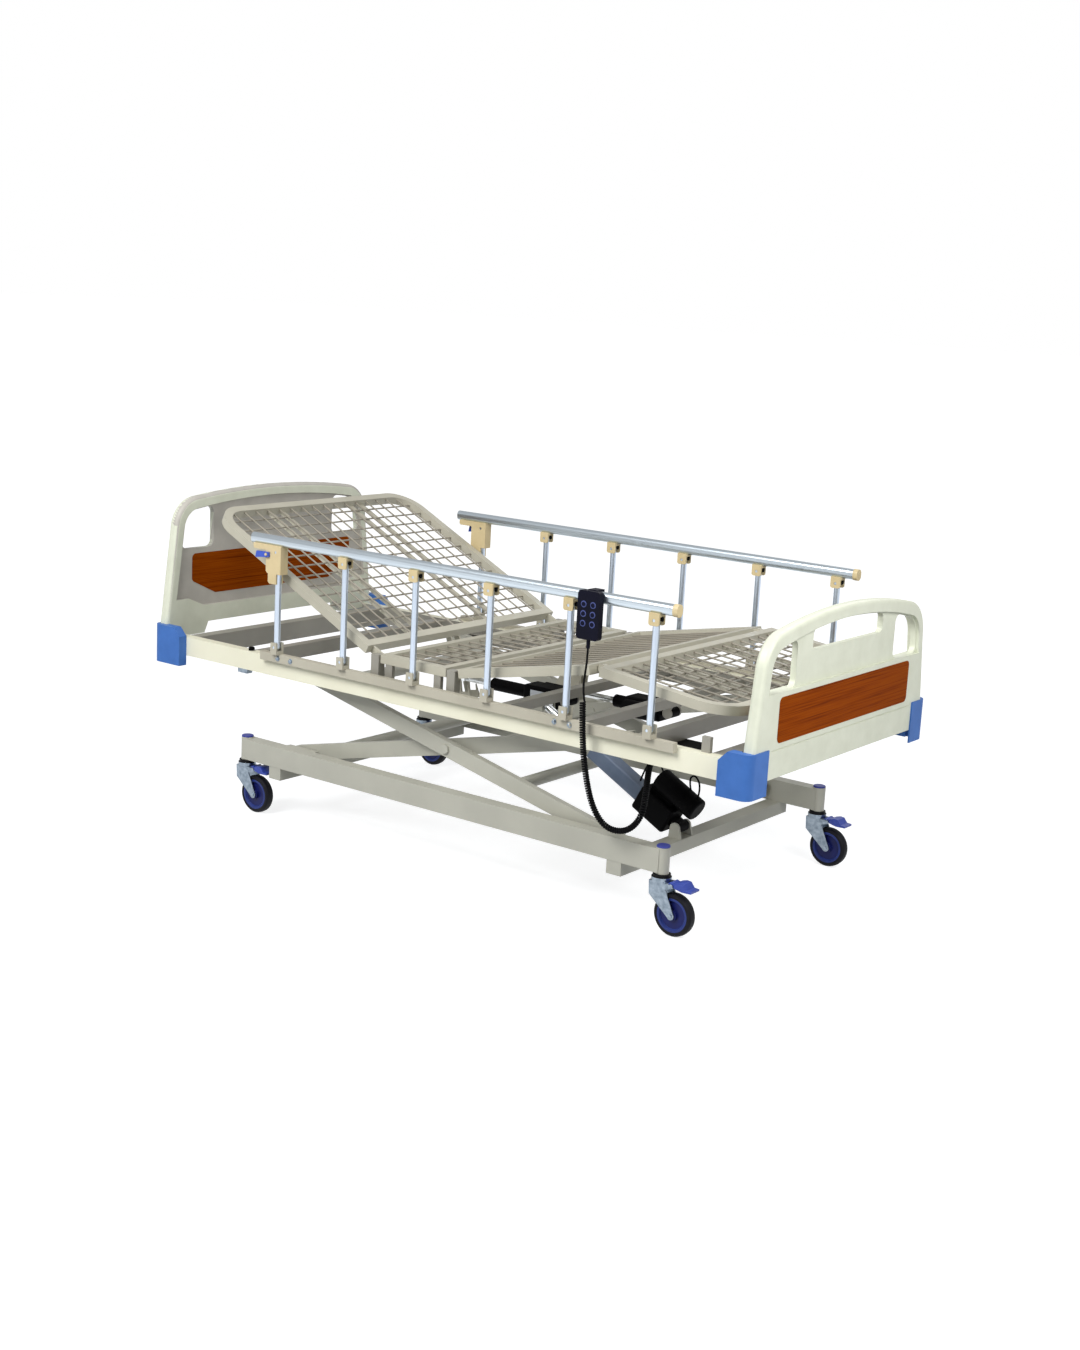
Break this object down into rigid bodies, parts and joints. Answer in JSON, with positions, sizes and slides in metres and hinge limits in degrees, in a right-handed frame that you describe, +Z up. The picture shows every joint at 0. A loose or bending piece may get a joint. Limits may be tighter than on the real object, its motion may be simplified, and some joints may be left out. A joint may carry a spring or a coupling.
{
  "type": "electric hospital bed",
  "caption": "Electric hospital bed with scissor lift, raisable backrest and knee sections, folding side rails, end boards and braked castors.",
  "frame": {"origin": "on the floor, under the middle of the bed", "axes": "+X towards the foot end, +Y towards the side away from the handset, +Z up"},
  "size_m": [2.075, 0.9709, 0.9149],
  "materials": {
    "cream_steel": "satin powder coat",
    "cream_abs": "satin moulded ABS",
    "wood_grain": "gloss printed laminate",
    "bumper_blue": "moulded",
    "cap_blue": "moulded",
    "wheel_navy": "moulded core with grey-black tread",
    "zinc": "zinc plate",
    "rail_aluminium": "anodised",
    "beige_abs": "moulded",
    "lever_blue": "moulded",
    "drive_black": "moulded",
    "rod_steel": "polished",
    "handset_black": "moulded",
    "key_grey": "moulded",
    "cord_black": "extruded"
  },
  "bodies": {
    "base": {"base_frame": "cream_steel", "base_caps": "cap_blue"},
    "fork_near_head": {"castor_fork_near_head": "zinc"},
    "wheel_near_head": {"castor_wheel_near_head": "wheel_navy"},
    "pedal_near_head": {"castor_pedal_near_head": "cap_blue"},
    "fork_near_foot": {"castor_fork_near_foot": "zinc"},
    "wheel_near_foot": {"castor_wheel_near_foot": "wheel_navy"},
    "pedal_near_foot": {"castor_pedal_near_foot": "cap_blue"},
    "fork_far_head": {"castor_fork_far_head": "zinc"},
    "wheel_far_head": {"castor_wheel_far_head": "wheel_navy"},
    "pedal_far_head": {"castor_pedal_far_head": "cap_blue"},
    "fork_far_foot": {"castor_fork_far_foot": "zinc"},
    "wheel_far_foot": {"castor_wheel_far_foot": "wheel_navy"},
    "pedal_far_foot": {"castor_pedal_far_foot": "cap_blue"},
    "outer_arms": {"lift_outer_arms": "cream_steel"},
    "inner_arms": {"lift_inner_arms": "cream_steel"},
    "lift_drive": {"lift_motor": "drive_black"},
    "lift_piston": {"lift_rod": "rod_steel"},
    "deck": {"deck_frame": "cream_steel", "rail_mounts": "cream_steel", "board_bumpers": "bumper_blue", "head_board": "cream_abs", "foot_board": "cream_abs", "board_inlays": "wood_grain", "seat_section": "cream_steel", "back_motor": "drive_black", "knee_motor": "drive_black", "control_box": "drive_black", "cord": "cord_black", "cord_coil": "cord_black"},
    "backrest": {"backrest_section": "cream_steel"},
    "thigh": {"thigh_section": "cream_steel"},
    "leg": {"leg_section": "cream_steel"},
    "back_piston": {"back_rod": "rod_steel"},
    "knee_piston": {"knee_rod": "rod_steel"},
    "near_post_1": {"near_post_1": "rail_aluminium"},
    "near_post_2": {"near_post_2": "rail_aluminium"},
    "near_post_3": {"near_post_3": "rail_aluminium"},
    "near_post_4": {"near_post_4": "rail_aluminium"},
    "near_post_5": {"near_post_5": "rail_aluminium"},
    "near_post_6": {"near_post_6": "rail_aluminium"},
    "near_rail": {"near_top_rail": "rail_aluminium", "near_fittings": "beige_abs", "handset": "handset_black"},
    "near_latch_lever": {"near_lever": "lever_blue"},
    "far_post_1": {"far_post_1": "rail_aluminium"},
    "far_post_2": {"far_post_2": "rail_aluminium"},
    "far_post_3": {"far_post_3": "rail_aluminium"},
    "far_post_4": {"far_post_4": "rail_aluminium"},
    "far_post_5": {"far_post_5": "rail_aluminium"},
    "far_post_6": {"far_post_6": "rail_aluminium"},
    "far_rail": {"far_top_rail": "rail_aluminium", "far_fittings": "beige_abs"},
    "far_latch_lever": {"far_lever": "lever_blue"},
    "key_1": {"button_1": "key_grey"},
    "key_2": {"button_2": "key_grey"},
    "key_3": {"button_3": "key_grey"},
    "key_4": {"button_4": "key_grey"},
    "key_5": {"button_5": "key_grey"},
    "key_6": {"button_6": "key_grey"}
  },
  "joints": [
    {"name": "swivel_near_head", "type": "hinge", "parent": "base", "child": "fork_near_head", "pos_m": [-0.6985, -0.401, 0.1537], "axis": [0, 0, 1], "continuous": true},
    {"name": "spin_near_head", "type": "hinge", "parent": "fork_near_head", "child": "wheel_near_head", "pos_m": [-0.6535, -0.401, 0.056], "axis": [0, 1, 0], "continuous": true},
    {"name": "brake_near_head", "type": "hinge", "parent": "fork_near_head", "child": "pedal_near_head", "pos_m": [-0.6605, -0.401, 0.1347], "axis": [0, 1, 0], "range_deg": [0, 10]},
    {"name": "swivel_near_foot", "type": "hinge", "parent": "base", "child": "fork_near_foot", "pos_m": [0.7715, -0.401, 0.1537], "axis": [0, 0, 1], "continuous": true},
    {"name": "spin_near_foot", "type": "hinge", "parent": "fork_near_foot", "child": "wheel_near_foot", "pos_m": [0.8165, -0.401, 0.056], "axis": [0, 1, 0], "continuous": true},
    {"name": "brake_near_foot", "type": "hinge", "parent": "fork_near_foot", "child": "pedal_near_foot", "pos_m": [0.8095, -0.401, 0.1347], "axis": [0, 1, 0], "range_deg": [0, 10]},
    {"name": "swivel_far_head", "type": "hinge", "parent": "base", "child": "fork_far_head", "pos_m": [-0.6985, 0.401, 0.1537], "axis": [0, 0, 1], "continuous": true},
    {"name": "spin_far_head", "type": "hinge", "parent": "fork_far_head", "child": "wheel_far_head", "pos_m": [-0.6535, 0.401, 0.056], "axis": [0, 1, 0], "continuous": true},
    {"name": "brake_far_head", "type": "hinge", "parent": "fork_far_head", "child": "pedal_far_head", "pos_m": [-0.6605, 0.401, 0.1347], "axis": [0, 1, 0], "range_deg": [0, 10]},
    {"name": "swivel_far_foot", "type": "hinge", "parent": "base", "child": "fork_far_foot", "pos_m": [0.7715, 0.401, 0.1537], "axis": [0, 0, 1], "continuous": true},
    {"name": "spin_far_foot", "type": "hinge", "parent": "fork_far_foot", "child": "wheel_far_foot", "pos_m": [0.8165, 0.401, 0.056], "axis": [0, 1, 0], "continuous": true},
    {"name": "brake_far_foot", "type": "hinge", "parent": "fork_far_foot", "child": "pedal_far_foot", "pos_m": [0.8095, 0.401, 0.1347], "axis": [0, 1, 0], "range_deg": [0, 10]},
    {"name": "lift", "type": "hinge", "parent": "base", "child": "outer_arms", "pos_m": [0.5945, 0, 0.194], "axis": [0, 1, 0], "range_deg": [-4, 7]},
    {"name": "scissor_middle", "type": "hinge", "parent": "outer_arms", "child": "inner_arms", "pos_m": [0.03188, 0, 0.322], "axis": [0, 1, 0], "range_deg": [-14, 8]},
    {"name": "deck_pivot", "type": "hinge", "parent": "inner_arms", "child": "deck", "pos_m": [0.5945, 0, 0.45], "axis": [0, 1, 0], "range_deg": [-4, 7]},
    {"name": "lift_drive_pivot", "type": "hinge", "parent": "base", "child": "lift_drive", "pos_m": [0.6365, -0.11, 0.183], "axis": [0, 1, 0], "range_deg": [-5.06, 8.48]},
    {"name": "lift_piston_slide", "type": "slide", "parent": "lift_drive", "child": "lift_piston", "axis": [-0.8837, 0, 0.4681], "range_m": [-0.0228, 0.0391]},
    {"name": "backrest_tilt", "type": "hinge", "parent": "deck", "child": "backrest", "pos_m": [-0.1815, 0, 0.545], "axis": [0, 1, 0], "range_deg": [-26, 39]},
    {"name": "back_piston_slide", "type": "slide", "parent": "deck", "child": "back_piston", "axis": [-1, 0, 0], "range_m": [-0.0548, 0.0818]},
    {"name": "knee_lift", "type": "hinge", "parent": "deck", "child": "thigh", "pos_m": [0.0885, 0, 0.545], "axis": [0, -1, 0], "range_deg": [-10.9, 20]},
    {"name": "leg_drop", "type": "hinge", "parent": "thigh", "child": "leg", "pos_m": [0.54707, 0, 0.63331], "axis": [0, -1, 0], "range_deg": [-32.1, 17.72]},
    {"name": "knee_piston_slide", "type": "slide", "parent": "deck", "child": "knee_piston", "axis": [1, 0, 0], "range_m": [-0.0243, 0.0437]},
    {"name": "near_rail_fold", "type": "hinge", "parent": "deck", "child": "near_post_1", "pos_m": [-0.5305, -0.457, 0.525], "axis": [0, 1, 0], "range_deg": [0, 65]},
    {"name": "near_post_2_fold", "type": "hinge", "parent": "deck", "child": "near_post_2", "pos_m": [-0.2757, -0.457, 0.525], "axis": [0, 1, 0], "range_deg": [0, 65]},
    {"name": "near_post_3_fold", "type": "hinge", "parent": "deck", "child": "near_post_3", "pos_m": [-0.0209, -0.457, 0.525], "axis": [0, 1, 0], "range_deg": [0, 65]},
    {"name": "near_post_4_fold", "type": "hinge", "parent": "deck", "child": "near_post_4", "pos_m": [0.2339, -0.457, 0.525], "axis": [0, 1, 0], "range_deg": [0, 65]},
    {"name": "near_post_5_fold", "type": "hinge", "parent": "deck", "child": "near_post_5", "pos_m": [0.4887, -0.457, 0.525], "axis": [0, 1, 0], "range_deg": [0, 65]},
    {"name": "near_post_6_fold", "type": "hinge", "parent": "deck", "child": "near_post_6", "pos_m": [0.7435, -0.457, 0.525], "axis": [0, 1, 0], "range_deg": [0, 65]},
    {"name": "near_rail_level", "type": "hinge", "parent": "near_post_1", "child": "near_rail", "pos_m": [-0.5305, -0.457, 0.797], "axis": [0, 1, 0], "range_deg": [-65, 0]},
    {"name": "near_latch", "type": "hinge", "parent": "near_rail", "child": "near_latch_lever", "pos_m": [-0.5605, -0.4714, 0.789], "axis": [0, -1, 0], "range_deg": [0, 20], "stiffness_Nm_per_rad": 0.05, "springref_deg": -8.59},
    {"name": "far_rail_fold", "type": "hinge", "parent": "deck", "child": "far_post_1", "pos_m": [-0.5305, 0.457, 0.525], "axis": [0, 1, 0], "range_deg": [0, 65]},
    {"name": "far_post_2_fold", "type": "hinge", "parent": "deck", "child": "far_post_2", "pos_m": [-0.2757, 0.457, 0.525], "axis": [0, 1, 0], "range_deg": [0, 65]},
    {"name": "far_post_3_fold", "type": "hinge", "parent": "deck", "child": "far_post_3", "pos_m": [-0.0209, 0.457, 0.525], "axis": [0, 1, 0], "range_deg": [0, 65]},
    {"name": "far_post_4_fold", "type": "hinge", "parent": "deck", "child": "far_post_4", "pos_m": [0.2339, 0.457, 0.525], "axis": [0, 1, 0], "range_deg": [0, 65]},
    {"name": "far_post_5_fold", "type": "hinge", "parent": "deck", "child": "far_post_5", "pos_m": [0.4887, 0.457, 0.525], "axis": [0, 1, 0], "range_deg": [0, 65]},
    {"name": "far_post_6_fold", "type": "hinge", "parent": "deck", "child": "far_post_6", "pos_m": [0.7435, 0.457, 0.525], "axis": [0, 1, 0], "range_deg": [0, 65]},
    {"name": "far_rail_level", "type": "hinge", "parent": "far_post_1", "child": "far_rail", "pos_m": [-0.5305, 0.457, 0.797], "axis": [0, 1, 0], "range_deg": [-65, 0]},
    {"name": "far_latch", "type": "hinge", "parent": "far_rail", "child": "far_latch_lever", "pos_m": [-0.5605, 0.4714, 0.789], "axis": [0, -1, 0], "range_deg": [0, 20], "stiffness_Nm_per_rad": 0.05, "springref_deg": -8.59},
    {"name": "key_1_press", "type": "slide", "parent": "near_rail", "child": "key_1", "axis": [0, 1, 0], "range_m": [0, 0.0015], "stiffness_N_per_m": 400, "springref_m": -0.0006},
    {"name": "key_2_press", "type": "slide", "parent": "near_rail", "child": "key_2", "axis": [0, 1, 0], "range_m": [0, 0.0015], "stiffness_N_per_m": 400, "springref_m": -0.0006},
    {"name": "key_3_press", "type": "slide", "parent": "near_rail", "child": "key_3", "axis": [0, 1, 0], "range_m": [0, 0.0015], "stiffness_N_per_m": 400, "springref_m": -0.0006},
    {"name": "key_4_press", "type": "slide", "parent": "near_rail", "child": "key_4", "axis": [0, 1, 0], "range_m": [0, 0.0015], "stiffness_N_per_m": 400, "springref_m": -0.0006},
    {"name": "key_5_press", "type": "slide", "parent": "near_rail", "child": "key_5", "axis": [0, 1, 0], "range_m": [0, 0.0015], "stiffness_N_per_m": 400, "springref_m": -0.0006},
    {"name": "key_6_press", "type": "slide", "parent": "near_rail", "child": "key_6", "axis": [0, 1, 0], "range_m": [0, 0.0015], "stiffness_N_per_m": 400, "springref_m": -0.0006}
  ],
  "couplings": [
    {"joint": "scissor_middle", "follows": "lift", "ratio": -2},
    {"joint": "deck_pivot", "follows": "lift", "ratio": 1},
    {"joint": "lift_drive_pivot", "follows": "lift", "ratio": 1.1393},
    {"joint": "lift_piston_slide", "follows": "lift", "m_per_rad": 0.31202},
    {"joint": "back_piston_slide", "follows": "backrest_tilt", "m_per_rad": 0.11864},
    {"joint": "leg_drop", "follows": "knee_lift", "ratio": -1.58},
    {"joint": "knee_piston_slide", "follows": "knee_lift", "m_per_rad": 0.12225},
    {"joint": "near_post_2_fold", "follows": "near_rail_fold", "ratio": 1},
    {"joint": "near_post_3_fold", "follows": "near_rail_fold", "ratio": 1},
    {"joint": "near_post_4_fold", "follows": "near_rail_fold", "ratio": 1},
    {"joint": "near_post_5_fold", "follows": "near_rail_fold", "ratio": 1},
    {"joint": "near_post_6_fold", "follows": "near_rail_fold", "ratio": 1},
    {"joint": "near_rail_level", "follows": "near_rail_fold", "ratio": -1},
    {"joint": "far_post_2_fold", "follows": "far_rail_fold", "ratio": 1},
    {"joint": "far_post_3_fold", "follows": "far_rail_fold", "ratio": 1},
    {"joint": "far_post_4_fold", "follows": "far_rail_fold", "ratio": 1},
    {"joint": "far_post_5_fold", "follows": "far_rail_fold", "ratio": 1},
    {"joint": "far_post_6_fold", "follows": "far_rail_fold", "ratio": 1},
    {"joint": "far_rail_level", "follows": "far_rail_fold", "ratio": -1}
  ]
}
